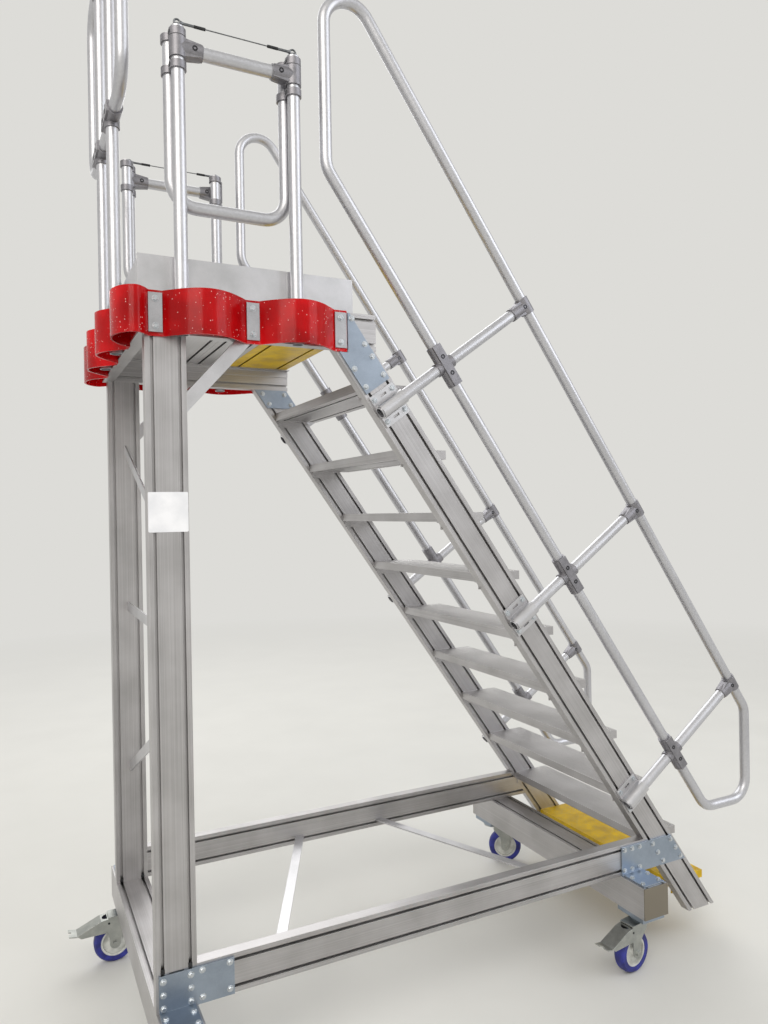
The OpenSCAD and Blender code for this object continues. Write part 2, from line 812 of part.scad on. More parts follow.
module joint_plates() {
    color(zinc) place() both_sides() {
        post_foot_plate();
        stair_foot_plate();
        top_joint_plate();
    }
}

// Handrails

rail_y = side_y + tube_off;
handrail_corners = [
    [handrail_leg_x, slope_z(handrail_leg_x, lower_rail_off)],
    [handrail_leg_x, slope_z(handrail_leg_x, upper_rail_off)],
    [handrail_front_x, slope_z(handrail_front_x, upper_rail_off)],
    [handrail_front_x, handrail_foot_z],
    [slope_x(handrail_foot_z, lower_rail_off), handrail_foot_z]
];
function slope_z(x, off) = (off - (x - stair_foot_x) * sin(stair_angle)) / cos(stair_angle);
function slope_x(z, off) = stair_foot_x + (off - z * cos(stair_angle)) / sin(stair_angle);

module handrail(side) {
    color(bright) place() on_side(side) translate([0, rail_y, 0]) rotate([90, 0, 0])
        bent_rod(handrail_corners, bend_r, true);
}

outrigger_pitch = (top_plate_low - outrigger_top_gap - outrigger_first) / 2;
outrigger_s = [for (i = [0:2]) outrigger_first + i * outrigger_pitch];

// Local frame of an outrigger: Z along the tube, square to the stair
module at_outrigger(s) {
    on_stair() translate([-s, rail_y, 0]) children();
}

module outriggers() {
    spans = [[4, lower_rail_off - cross_stop], [lower_rail_off + cross_stop, upper_rail_off - tee_stop]];
    color(bright) place() both_sides() for (s = outrigger_s) at_outrigger(s)
        for (span = spans) translate([0, 0, span[0]]) pipe(span[1] - span[0]);
}

module handrail_fittings() {
    color(cast_grey) place() both_sides() for (s = outrigger_s) at_outrigger(s) {
        translate([0, 0, lower_rail_off]) rotate([0, 90, 0]) cross_fitting();
        translate([0, 0, upper_rail_off]) rotate([0, 90, 0]) tee(tee_h);
    }
}

bracket_wall = 5;
flange_l = 34;
// Saddle round the outrigger with a bolted flange on each side, drawn across the tube
module bracket_section() {
    r = tube_r + bracket_wall;
    difference() {
        union() {
            circle(r = r);
            translate([-r + 3, -tube_off]) square([2 * r - 6, tube_off]);
            translate([-r - flange_l, -tube_off]) square([2 * (r + flange_l), bracket_wall + 1]);
        }
        circle(d = tube_d + 2 * fit_gap);
    }
}

bracket_slot_l = 26;
module outrigger_brackets() {
    hole_x = tube_r + bracket_wall + flange_l / 2;
    end = (profile_w - bracket_l) / 2;
    color(bright) place() both_sides() for (s = outrigger_s) at_outrigger(s)
        translate([0, 0, end]) difference() {
            linear_extrude(bracket_l) bracket_section();
            for (x = [-hole_x, hole_x]) translate([x, -tube_off - over, 0]) {
                for (z = [groove_inset - end, profile_w - groove_inset - end])
                    translate([0, 0, z]) rotate([-90, 0, 0]) cylinder(d = 9, h = bracket_wall + 4);
                translate([-4, 0, (bracket_l - bracket_slot_l) / 2])
                    cube([8, bracket_wall + 4, bracket_slot_l]);
            }
        }
}

// Castors

swivel_y = side_y + swivel_out;
packer_t = 12;
top_plate_t = 8;
head_h = 14;
head_d = 84;
plate_x = 110;
plate_y = 135;
head_z = castor_h - packer_t - top_plate_t;
fork_t = 4;
fork_gap = 5;
fork_in = tyre_w / 2 + fork_gap;
fork_top = head_z - head_h;
wheel_r = wheel_d / 2;

module castor_plates() {
    color(zinc) place() for (c = CORNERS) translate([c[1], c[2] * swivel_y, 0]) {
        translate([-plate_x / 2, -plate_y / 2, castor_h - packer_t]) cube([plate_x, plate_y, packer_t]);
        difference() {
            translate([-plate_x / 2, -plate_y / 2, head_z]) cube([plate_x, plate_y, top_plate_t]);
            for (x = [-40, 40], y = [-52, 52]) translate([x, y, head_z - over])
                cylinder(d = 11, h = top_plate_t + 2 * over - 1.5);
        }
    }
}

// Places a castor's moving pieces: local X points along the trail
module at_castor(c) {
    translate([c[1], c[2] * swivel_y, 0]) rotate([0, 0, c[3]]) children();
}

// Brake pedal seen from the side: its top plate runs down from the fork to a raised tip
pedal_x1 = castor_trail + pedal_reach;
pedal_bend_z = wheel_r + 61;
pedal_tip = [30, 6];
pedal_pin = [castor_trail + 23, wheel_r + 84];
pedal_line = [
    [castor_trail - leg_r, fork_top - 2], [castor_trail + 53, fork_top - 10],
    [pedal_x1 - pedal_tip[0], pedal_bend_z], [pedal_x1, pedal_bend_z + pedal_tip[1]]
];
pedal_low_z = wheel_r + 48;
pedal_x0 = castor_trail + leg_r + 4;

// Side of a fork, local X along the trail: the leg, and the pedal's flange behind it
module fork_side() {
    difference() {
        union() {
            translate([castor_trail, wheel_r]) circle(r = leg_r);
            polygon([
                [castor_trail - leg_r + 1.5, wheel_r], [castor_trail + leg_r - 1.5, wheel_r],
                [pedal_x0, pedal_low_z], [pedal_x0, fork_top], [4, fork_top], [4, fork_top - 24],
                [castor_trail - leg_r - 4, wheel_r + 46]
            ]);
            polygon([
                pedal_line[0], pedal_line[1], pedal_line[2], [pedal_x1 - 44, pedal_low_z],
                [castor_trail, pedal_low_z]
            ]);
        }
        translate(pedal_pin) circle(d = 9);
    }
}

module fork(c) {
    outer = fork_in + fork_t;
    color(zinc) place() at_castor(c) {
        translate([0, 0, fork_top]) cylinder(d1 = head_d, d2 = head_d - 20, h = head_h - 0.4);
        translate([0, 0, fork_top - fork_t]) cylinder(d = head_d, h = fork_t);
        translate([0, -outer, fork_top - fork_t]) cube([pedal_x0, 2 * outer, fork_t + 0.01]);
        for (y = [-outer, fork_in]) translate([0, y + fork_t, 0]) rotate([90, 0, 0])
            linear_extrude(fork_t) fork_side();
        translate([castor_trail, -outer - 8, wheel_r]) rotate([-90, 0, 0])
            cylinder(d = axle_d, h = 2 * (outer + 8));
        for (y = [-outer - 8, outer]) translate([castor_trail, y, wheel_r])
            rotate([-90, 0, 0]) cylinder(d = 20, h = 8, $fn = 6);
        brake_pedal();
    }
}

// Top plate of the pedal, with a half-moon opening near the fork and a notch between two tips
pedal_notch = [10, 18];
module brake_pedal() {
    outer = fork_in + fork_t;
    under = [for (p = pedal_line) [p[0], p[1] - fork_t]];
    difference() {
        translate([0, outer, 0]) rotate([90, 0, 0]) linear_extrude(2 * outer)
            polygon(concat(pedal_line, [for (i = [3:-1:0]) under[i]]));
        intersection() {
            translate([pedal_x0 + 4, 0, 0]) cylinder(r = 19, h = fork_top + over);
            translate([pedal_x0 + 4, -outer, 0]) cube([60, 2 * outer, fork_top + over]);
        }
        translate([pedal_x1 - pedal_notch[0], -pedal_notch[1] / 2, 0])
            cube([60, pedal_notch[1], fork_top]);
    }
}

hub_w = 2 * fork_in - 1;
rim_r = wheel_r - tyre_t;
module wheel_hub(c) {
    color(hub_grey) place() at_castor(c) translate([castor_trail, 0, wheel_r]) rotate([90, 0, 0])
        rotate_extrude() difference() {
            polygon([[0, -hub_w / 2], [18, -hub_w / 2], [18, -8], [rim_r - 7, -8],
                [rim_r - 7, -tyre_w / 2 + 2], [rim_r, -tyre_w / 2 + 2], [rim_r, tyre_w / 2 - 2],
                [rim_r - 7, tyre_w / 2 - 2], [rim_r - 7, 8], [18, 8], [18, hub_w / 2], [0, hub_w / 2]]);
            translate([0, -hub_w]) square([axle_d / 2 + axle_gap, 2 * hub_w]);
        }
}

module tyre(c) {
    color(tyre_blue) place() at_castor(c) translate([castor_trail, 0, wheel_r]) rotate([90, 0, 0])
        rotate_extrude() polygon([[rim_r, -tyre_w / 2], [wheel_r - 7, -tyre_w / 2],
            [wheel_r - 2, -tyre_w / 2 + 6], [wheel_r, -tyre_w / 4], [wheel_r, tyre_w / 4],
            [wheel_r - 2, tyre_w / 2 - 6], [wheel_r - 7, tyre_w / 2], [rim_r, tyre_w / 2]]);
}

cross_beam(0);  // cross_beam_rear
cross_beam(front_beam_x);  // cross_beam_front
side_rail(left);  // side_rail_left
side_rail(right);  // side_rail_right
post(left);  // post_left
post(right);  // post_right
base_braces();
post_braces();
knee_braces();
platform_beam(left);  // platform_beam_left
platform_beam(right);  // platform_beam_right
platform_end_beam();
deck_ledges();
deck_planks();
deck_yellow_edge();
toe_boards();
bumper();
bumper_strips();
guard_posts();
guard_top_rails();
guard_u_rails();
guard_fittings();
end_guard_posts();
end_guard_loop();
end_guard_fittings();
stringer(left);  // stringer_left
stringer(right);  // stringer_right
treads();
bottom_tread();
joint_plates();
handrail(left);  // handrail_left
handrail(right);  // handrail_right
outriggers();
handrail_fittings();
outrigger_brackets();
castor_plates();
fork(CORNERS[0]);  // fork_rear_left
fork(CORNERS[1]);  // fork_rear_right
fork(CORNERS[2]);  // fork_front_left
fork(CORNERS[3]);  // fork_front_right
wheel_hub(CORNERS[0]);  // hub_rear_left
wheel_hub(CORNERS[1]);  // hub_rear_right
wheel_hub(CORNERS[2]);  // hub_front_left
wheel_hub(CORNERS[3]);  // hub_front_right
tyre(CORNERS[0]);  // tyre_rear_left
tyre(CORNERS[1]);  // tyre_rear_right
tyre(CORNERS[2]);  // tyre_front_left
tyre(CORNERS[3]);  // tyre_front_right
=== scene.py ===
# Mobile aircraft access stairs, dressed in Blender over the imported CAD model
import bpy
import bmesh
from math import radians, degrees, sin, cos, tan, atan2, pi
from mathutils import Matrix, Vector


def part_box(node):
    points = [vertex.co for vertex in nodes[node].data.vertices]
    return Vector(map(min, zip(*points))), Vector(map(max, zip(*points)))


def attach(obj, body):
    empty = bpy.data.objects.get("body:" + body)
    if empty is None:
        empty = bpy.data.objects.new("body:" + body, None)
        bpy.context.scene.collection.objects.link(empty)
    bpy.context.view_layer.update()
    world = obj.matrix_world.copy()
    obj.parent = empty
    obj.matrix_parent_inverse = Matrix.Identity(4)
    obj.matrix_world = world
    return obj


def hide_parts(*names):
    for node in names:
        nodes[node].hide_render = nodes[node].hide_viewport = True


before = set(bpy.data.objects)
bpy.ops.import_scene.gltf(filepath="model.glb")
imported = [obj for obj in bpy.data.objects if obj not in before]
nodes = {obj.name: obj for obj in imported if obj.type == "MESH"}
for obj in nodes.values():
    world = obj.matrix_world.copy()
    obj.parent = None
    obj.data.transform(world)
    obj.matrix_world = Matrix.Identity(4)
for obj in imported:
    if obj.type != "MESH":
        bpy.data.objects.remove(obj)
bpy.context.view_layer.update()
print("frame loaded:", len(nodes), "nodes")

# All sizes are in mm. A place is measured from the posts' aircraft side, from the middle and from the floor
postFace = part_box("post_left")[0][0]
sides = (-1, 1)

# Places that several pieces share, as the part's source has them
layout = {"sideFace": 468, "innerFace": 428, "endFace": -15, "profile": 120, "grooves": (20, 100),
          "plateThick": 6, "beamX": (60, 1840), "guardX": (106, 464), "guardY": 490, "endGuardX": -37,
          "endGuardY": (-144, 144), "stripX": (31, 324, 617), "stripY": 278}

# The stair's slope is in degrees. A place is measured along it from its foot and off its lower edge
stair = {"foot": 2228.05, "slope": 55}


def at(x, y, z):
    return Vector((postFace + x / 1000, y / 1000, z / 1000))


# Camera, as the photograph was taken
photoView = {"place": (-1.5227, -2.7560, 1.7981), "yaw": 26.338, "pitch": -0.079, "roll": -1.010,
             "focalPixels": 761.9, "pictureHeight": 1024, "sensorMm": 24}


def addCamera(view):
    yaw, pitch, roll = (radians(view[k]) for k in ("yaw", "pitch", "roll"))
    forward = Vector((sin(yaw) * cos(pitch), cos(yaw) * cos(pitch), sin(pitch)))
    right = Vector((cos(yaw), -sin(yaw), 0))
    up = right.cross(forward)
    right, up = right * cos(roll) + up * sin(roll), up * cos(roll) - right * sin(roll)
    turn = Matrix((right, up, -forward)).transposed().to_4x4()
    data = bpy.data.cameras.new("photoCamera")
    data.sensor_fit = "VERTICAL"
    data.sensor_height = view["sensorMm"]
    data.lens = view["focalPixels"] / view["pictureHeight"] * view["sensorMm"]
    camera = bpy.data.objects.new("photoCamera", data)
    camera.matrix_world = Matrix.Translation(view["place"]) @ turn
    bpy.context.scene.collection.objects.link(camera)
    bpy.context.scene.camera = camera


addCamera(photoView)


# Colours are written as sRGB and turned to the linear values that shaders take
def srgb(code):
    parts = [int(code[i:i + 2], 16) / 255 for i in (1, 3, 5)]
    return tuple(c / 12.92 if c <= 0.04045 else ((c + 0.055) / 1.055) ** 2.4 for c in parts) + (1,)


def addNode(tree, kind, values=None, links=None, **settings):
    node = tree.nodes.new(kind)
    for key, value in settings.items():
        setattr(node, key, value)
    for socket, value in (values or {}).items():
        node.inputs[socket].default_value = value
    for socket, source in (links or {}).items():
        tree.links.new(source, node.inputs[socket])
    return node


# A shader with plain values, and the piece's own coordinates, turned for its pattern
def startFinish(name, shine, turn=(0, 0, 0)):
    material = bpy.data.materials.new(name)
    material.use_nodes = True
    tree = material.node_tree
    shader = tree.nodes["Principled BSDF"]
    for socket, value in shine.items():
        shader.inputs[socket].default_value = value
    coords = addNode(tree, "ShaderNodeTexCoord")
    turned = addNode(tree, "ShaderNodeMapping", {"Rotation": [radians(a) for a in turn]},
                     {"Vector": coords.outputs["Object"]})
    return material, tree, shader, turned.outputs[0]


# Mixes two tones by a pattern, held between two levels of it
def tones(tree, pattern, levels, look):
    ramp = addNode(tree, "ShaderNodeValToRGB", links={"Fac": pattern})
    for stop, level, tone in zip(ramp.color_ramp.elements, levels, (look["dark"], look["light"])):
        stop.position = level
        stop.color = srgb(tone)
    return ramp.outputs["Color"]


def spread(tree, pattern, low, high, fromLow=0.3, fromHigh=0.7):
    limits = {"From Min": fromLow, "From Max": fromHigh, "To Min": low, "To Max": high}
    return addNode(tree, "ShaderNodeMapRange", limits, {"Value": pattern}).outputs[0]


# Lays a second colour over a first where the mask is 1
def laidOver(tree, colour, mask, code):
    return addNode(tree, "ShaderNodeMix", {7: srgb(code)}, {0: mask, 6: colour}, data_type="RGBA").outputs[2]


# Rounds the hard edges for the light, and finds them for wear: 0 on flats, 1 on an edge
edgeWear = {"samples": 4, "worn": 0.75, "whole": 0.99}


def softEdges(tree, widthMm):
    soft = addNode(tree, "ShaderNodeBevel", {"Radius": widthMm / 1000}, samples=edgeWear["samples"])
    flat = addNode(tree, "ShaderNodeNewGeometry")
    level = addNode(tree, "ShaderNodeVectorMath", links={0: soft.outputs[0], 1: flat.outputs["Normal"]},
                    operation="DOT_PRODUCT")
    edge = spread(tree, level.outputs["Value"], 1, 0, edgeWear["worn"], edgeWear["whole"])
    return soft.outputs[0], edge


# Extruded aluminium, left as it came from the die: long draw lines, faint oxide clouds, edges rubbed bright.
# Real draw lines lie closer than 1 mm and wouldn't show
extrusion = {"dark": "#a8a6a6", "light": "#c6c4c5", "levels": (0.34, 0.64), "lineMm": 2.2,
             "streaksPerMetre": 1.2, "cloudMm": 160, "cloudShare": 0.5, "rough": (0.36, 0.48), "bump": 0.14,
             "bumpMm": 0.3, "edgeMm": 1.2, "edge": "#dedddb"}
# Grey plastic caps close the cross beams' ends, from this far off the middle
endCap = {"from": 589.8, "blend": 0.2, "colour": "#8d867a"}


def extrudedAluminium(name, turn, cap=None):
    look = extrusion
    material, tree, shader, straight = startFinish(name, {"Metallic": 1.0}, turn)
    perMetre = 1000 / look["lineMm"]
    drawn = addNode(tree, "ShaderNodeMapping", {"Scale": (look["streaksPerMetre"], perMetre, perMetre)},
                    {"Vector": straight})
    lines = addNode(tree, "ShaderNodeTexNoise", {"Scale": 1.0, "Detail": 3.0}, {"Vector": drawn.outputs[0]})
    cloud = addNode(tree, "ShaderNodeTexNoise",
                    {"Scale": 1000 / look["cloudMm"], "Detail": 4.0, "Roughness": 0.5}, {"Vector": straight})
    both = addNode(tree, "ShaderNodeMix", {0: look["cloudShare"]}, {2: lines.outputs[0], 3: cloud.outputs[0]})
    soft, edge = softEdges(tree, look["edgeMm"])
    colour = laidOver(tree, tones(tree, both.outputs[0], look["levels"], look), edge, look["edge"])
    if cap:
        across = addNode(tree, "ShaderNodeSeparateXYZ", links={0: straight})
        reach = addNode(tree, "ShaderNodeMath", links={0: across.outputs[0]}, operation="ABSOLUTE")
        beyond = spread(tree, reach.outputs[0], 0, 1, (cap["from"] - cap["blend"]) / 1000, cap["from"] / 1000)
        colour = laidOver(tree, colour, beyond, cap["colour"])
    tree.links.new(colour, shader.inputs["Base Color"])
    tree.links.new(spread(tree, both.outputs[0], *look["rough"]), shader.inputs["Roughness"])
    bump = addNode(tree, "ShaderNodeBump", {"Strength": look["bump"], "Distance": look["bumpMm"] / 1000},
                   {"Height": lines.outputs[0], "Normal": soft})
    tree.links.new(bump.outputs[0], shader.inputs["Normal"])
    return material


# Metals without one direction: fine grain under clouds. The grain is drawn coarser than the real one, to show
grained = {"levels": (0.32, 0.68), "cloudShare": 0.6, "bumpMm": 0.3}


def grainedMetal(name, look):
    material, tree, shader, straight = startFinish(name, {"Metallic": 1.0})
    grain = addNode(tree, "ShaderNodeTexNoise", {"Scale": 1000 / look["grainMm"], "Detail": 2.0},
                    {"Vector": straight})
    cloud = addNode(tree, "ShaderNodeTexNoise",
                    {"Scale": 1000 / look["cloudMm"], "Detail": 6.0, "Roughness": 0.62}, {"Vector": straight})
    both = addNode(tree, "ShaderNodeMix", {0: grained["cloudShare"]},
                   {2: grain.outputs[0], 3: cloud.outputs[0]})
    colour = tones(tree, both.outputs[0], grained["levels"], look)
    bump = addNode(tree, "ShaderNodeBump", {"Strength": look["bump"], "Distance": grained["bumpMm"] / 1000},
                   {"Height": grain.outputs[0]})
    if "edgeMm" in look:
        soft, edge = softEdges(tree, look["edgeMm"])
        colour = laidOver(tree, colour, edge, look["edge"])
        tree.links.new(soft, bump.inputs["Normal"])
    tree.links.new(colour, shader.inputs["Base Color"])
    tree.links.new(spread(tree, both.outputs[0], *look["rough"]), shader.inputs["Roughness"])
    tree.links.new(bump.outputs[0], shader.inputs["Normal"])
    return material


# Rolled or drawn flat aluminium: brighter than the profiles, with handling marks
rolled = {"dark": "#bfbfc1", "light": "#d6d5d8", "grainMm": 1.4, "cloudMm": 80, "rough": (0.32, 0.44),
          "bump": 0.06, "edgeMm": 0.8, "edge": "#eaeaea"}
# Sheared flat strip: the same metal, duller from sawing and handling
strip = {"dark": "#a4a4a7", "light": "#bdbdc0", "grainMm": 4.0, "cloudMm": 60, "rough": (0.36, 0.5),
         "bump": 0.08, "edgeMm": 0.8, "edge": "#dededf"}
# Satin drawn tube: bright, smooth, slightly cloudy where hands have been
satinTube = {"dark": "#bbbbbf", "light": "#d1d1d5", "grainMm": 8.0, "cloudMm": 300, "rough": (0.37, 0.45),
             "bump": 0.01}
# Die-cast alloy: grey, tumbled, with a pebbly skin that scatters the light
dieCast = {"dark": "#7d7c80", "light": "#a09ea3", "grainMm": 4.0, "cloudMm": 25, "rough": (0.42, 0.56),
           "bump": 0.3, "edgeMm": 1.5, "edge": "#bdbcbf"}
# Zinc-plated steel: bluish, with soft clouds in the plating and a sharp shine
zincPlate = {"dark": "#8d97a4", "light": "#a6b1bf", "grainMm": 1.6, "cloudMm": 90, "rough": (0.28, 0.4),
             "bump": 0.06, "edgeMm": 0.8, "edge": "#d5dfe9"}
# The castors' thicker zinc, greyer and handled
castorZinc = {"dark": "#999c9a", "light": "#c0c2bd", "grainMm": 1.6, "cloudMm": 40, "rough": (0.28, 0.44),
              "bump": 0.08, "edgeMm": 1.2, "edge": "#e4e5e2"}
# Bright zinc on bolts and nuts
boltZinc = {"dark": "#aab0b6", "light": "#dfe3e6", "grainMm": 1.0, "cloudMm": 12, "rough": (0.22, 0.4),
            "bump": 0.06, "edgeMm": 0.5, "edge": "#f0f2f3"}
# Steel wire rope and its pressed ends: dull grey
wireSteel = {"dark": "#5e6063", "light": "#8b8d90", "grainMm": 1.0, "cloudMm": 10, "rough": (0.35, 0.5),
             "bump": 0.06}
# Black-oxide steel of the socket screws, oily dark
blackOxide = {"dark": "#303032", "light": "#4c4c50", "grainMm": 1.0, "cloudMm": 8, "rough": (0.3, 0.42),
              "bump": 0.06, "edgeMm": 0.4, "edge": "#8a8a8d"}

# Yellow safety enamel over the ribbed planks: even colour, with dust in it, rubbed spots and rubbed edges
enamel = {"dark": "#c09a00", "light": "#e6c000", "rubbed": "#a9a694", "levels": (0.35, 0.65), "cloudMm": 70,
          "rubsPerMetre": 60, "rubbedFrom": (0.66, 0.7), "edgeRubbedFrom": (0.48, 0.56), "rough": (0.34, 0.5),
          "bump": 0.2, "bumpMm": 0.4, "edgeMm": 1.2}
enamelShine = {"Metallic": 0.0, "Specular IOR Level": 0.3, "Coat Weight": 0.1, "Coat Roughness": 0.2}


def yellowEnamel():
    look = enamel
    material, tree, shader, straight = startFinish("yellowEnamelOverAluminium", enamelShine)
    cloud = addNode(tree, "ShaderNodeTexNoise", {"Scale": 1000 / look["cloudMm"], "Detail": 6.0},
                    {"Vector": straight})
    rub = addNode(tree, "ShaderNodeTexNoise",
                  {"Scale": look["rubsPerMetre"], "Detail": 8.0, "Roughness": 0.7}, {"Vector": straight})
    paint = tones(tree, cloud.outputs[0], look["levels"], look)
    spots = spread(tree, rub.outputs[0], 0, 1, *look["rubbedFrom"])
    soft, edge = softEdges(tree, look["edgeMm"])
    edgeSpots = spread(tree, rub.outputs[0], 0, 1, *look["edgeRubbedFrom"])
    rubbedEdge = addNode(tree, "ShaderNodeMath", links={0: edge, 1: edgeSpots}, operation="MULTIPLY")
    bare = addNode(tree, "ShaderNodeMath", links={0: spots, 1: rubbedEdge.outputs[0]}, operation="MAXIMUM")
    tree.links.new(laidOver(tree, paint, bare.outputs[0], look["rubbed"]), shader.inputs["Base Color"])
    tree.links.new(spread(tree, cloud.outputs[0], *look["rough"]), shader.inputs["Roughness"])
    bump = addNode(tree, "ShaderNodeBump", {"Strength": look["bump"], "Distance": look["bumpMm"] / 1000},
                   {"Height": rub.outputs[0], "Normal": soft})
    tree.links.new(bump.outputs[0], shader.inputs["Normal"])
    return material


# Moulded red vinyl: clear enough for light to sink in, wet-looking shine, and small pale specks that are
# partly bubbles and partly painted highlights of small lamps
vinyl = {"dark": "#a8070c", "light": "#dd1218", "bubbleAndPaintedHighlight": "#fbe6e2", "levels": (0.35, 0.65), "cloudMm": 140,
         "bubbleAndPaintedHighlightMm": 10, "bubbleAndPaintedHighlightEdge": (0.1, 0.18), "patchesPerMetre": 38, "patchEdge": (0.46, 0.54),
         "bubbleAndPaintedHighlightStrength": 0.9, "bump": 0.25, "bumpMm": 1.5}
vinylShine = {"Metallic": 0.0, "Roughness": 0.16, "IOR": 1.45, "Specular IOR Level": 0.12,
              "Subsurface Weight": 0.15, "Subsurface Scale": 0.008, "Subsurface Radius": (1.0, 0.15, 0.1),
              "Transmission Weight": 0.25}


def redVinyl():
    look = vinyl
    material, tree, shader, straight = startFinish("redVinylMoulded", vinylShine)
    cloud = addNode(tree, "ShaderNodeTexNoise", {"Scale": 1000 / look["cloudMm"], "Detail": 4.0},
                    {"Vector": straight})
    bubbleAndPaintedHighlights = addNode(tree, "ShaderNodeTexVoronoi", {"Scale": 1000 / look["bubbleAndPaintedHighlightMm"], "Randomness": 1.0},
                     {"Vector": straight})
    patches = addNode(tree, "ShaderNodeTexNoise", {"Scale": look["patchesPerMetre"], "Detail": 2.0},
                      {"Vector": straight})
    red = tones(tree, cloud.outputs[0], look["levels"], look)
    # Pale specks: partly bubbles in the vinyl, partly painted highlights of small lamps
    nearBubbleAndPaintedHighlight = spread(tree, bubbleAndPaintedHighlights.outputs["Distance"], 1, 0, *look["bubbleAndPaintedHighlightEdge"])
    picked = spread(tree, patches.outputs[0], 0, look["bubbleAndPaintedHighlightStrength"], *look["patchEdge"])
    bubbleAndHighlightMask = addNode(tree, "ShaderNodeMath", links={0: nearBubbleAndPaintedHighlight, 1: picked}, operation="MULTIPLY")
    tree.links.new(laidOver(tree, red, bubbleAndHighlightMask.outputs[0], look["bubbleAndPaintedHighlight"]), shader.inputs["Base Color"])
    bump = addNode(tree, "ShaderNodeBump", {"Strength": look["bump"], "Distance": look["bumpMm"] / 1000},
                   {"Height": cloud.outputs[0]})
    tree.links.new(bump.outputs[0], shader.inputs["Normal"])
    return material


# Plastics and rubber: one tone moving into another, a moulded skin and its dust
moulded = {"levels": (0.35, 0.65), "bumpMm": 0.6}


def mouldedPlastic(name, look):
    material, tree, shader, straight = startFinish(name, {"Metallic": 0.0, "IOR": look["ior"]})
    cloud = addNode(tree, "ShaderNodeTexNoise", {"Scale": 1000 / look["cloudMm"], "Detail": 6.0},
                    {"Vector": straight})
    skin = addNode(tree, "ShaderNodeTexNoise", {"Scale": 1000 / look["skinMm"], "Detail": 3.0},
                   {"Vector": straight})
    tree.links.new(tones(tree, cloud.outputs[0], moulded["levels"], look), shader.inputs["Base Color"])
    tree.links.new(spread(tree, cloud.outputs[0], *look["rough"]), shader.inputs["Roughness"])
    bump = addNode(tree, "ShaderNodeBump", {"Strength": look["bump"], "Distance": moulded["bumpMm"] / 1000},
                   {"Height": skin.outputs[0]})
    tree.links.new(bump.outputs[0], shader.inputs["Normal"])
    return material


# Blue polyurethane tyre: deep, even colour with a rubbed matt tread
blueTyre = {"dark": "#1c1f63", "light": "#2f3590", "cloudMm": 35, "skinMm": 2.5, "rough": (0.42, 0.6),
            "bump": 0.25, "ior": 1.5}
# Grey polyamide wheel body: pale, waxy, slightly dirty
greyHub = {"dark": "#b5b6b1", "light": "#d9dad6", "cloudMm": 30, "skinMm": 2.0, "rough": (0.4, 0.55),
           "bump": 0.12, "ior": 1.53}
# Black polyamide plugs and shrink sleeves: dull, near black
blackPlastic = {"dark": "#141415", "light": "#26272a", "cloudMm": 12, "skinMm": 1.0, "rough": (0.45, 0.6),
                "bump": 0.15, "ior": 1.5}
# White coated sheet of the blank plate: smooth, clean, a little glossy
whiteCoat = {"dark": "#dfe0e4", "light": "#f1f1f4", "cloudMm": 60, "skinMm": 3.0, "rough": (0.3, 0.4),
             "bump": 0.05, "ior": 1.5}

alongX = extrudedAluminium("extrudedAluminiumAlongPlatform", (0, 0, 0))
alongY = extrudedAluminium("extrudedAluminiumAcross", (0, 0, 90))
capped = extrudedAluminium("extrudedAluminiumWithEndCaps", (0, 0, 90), endCap)
alongZ = extrudedAluminium("extrudedAluminiumUpright", (0, 90, 0))
alongStair = extrudedAluminium("extrudedAluminiumOnSlope", (0, -stair["slope"], 0))
rolledBright = grainedMetal("rolledAluminiumBright", rolled)
stripMetal = grainedMetal("rolledAluminiumSawn", strip)
tubeMetal = grainedMetal("satinDrawnTube", satinTube)
castMetal = grainedMetal("dieCastAlloyTumbled", dieCast)
zincSteel = grainedMetal("zincPlatedSteel", zincPlate)
castorSteel = grainedMetal("zincPlatedSteelPressed", castorZinc)
boltSteel = grainedMetal("zincPlatedBolt", boltZinc)
ropeSteel = grainedMetal("steelWireRope", wireSteel)
blackSteel = grainedMetal("blackOxideScrew", blackOxide)
yellowPaint = yellowEnamel()
redBumper = redVinyl()
tyreBlue = mouldedPlastic("polyurethaneTyreBlue", blueTyre)
hubGrey = mouldedPlastic("polyamideHubGrey", greyHub)
blackNylon = mouldedPlastic("polyamideBlack", blackPlastic)
whitePlate = mouldedPlastic("coatedSheetWhite", whiteCoat)

nodeFinish = {
    "cross_beam_rear": capped, "cross_beam_front": capped, "platform_end_beam": alongY,
    "deck_planks": alongY, "treads": alongY, "side_rail_left": alongX, "side_rail_right": alongX,
    "platform_beam_left": alongX, "platform_beam_right": alongX, "deck_ledges": alongX,
    "post_left": alongZ, "post_right": alongZ, "stringer_left": alongStair, "stringer_right": alongStair,
    "base_braces": rolledBright, "post_braces": rolledBright, "knee_braces": rolledBright,
    "toe_boards": rolledBright, "bumper_strips": stripMetal, "outrigger_brackets": rolledBright,
    "guard_posts": tubeMetal, "guard_top_rails": tubeMetal, "guard_u_rails": tubeMetal,
    "end_guard_posts": tubeMetal, "end_guard_loop": tubeMetal, "outriggers": tubeMetal,
    "handrail_left": tubeMetal, "handrail_right": tubeMetal, "guard_fittings": castMetal,
    "end_guard_fittings": castMetal, "handrail_fittings": castMetal, "joint_plates": zincSteel,
    "castor_plates": zincSteel, "deck_yellow_edge": yellowPaint, "bottom_tread": yellowPaint,
    "bumper": redBumper}
for name, node in nodes.items():
    for start, finish in (("fork_", castorSteel), ("hub_", hubGrey), ("tyre_", tyreBlue)):
        if name.startswith(start):
            nodeFinish[name] = finish
    node.data.materials.clear()
    node.data.materials.append(nodeFinish[name])
print("finishes made:", len(bpy.data.materials))


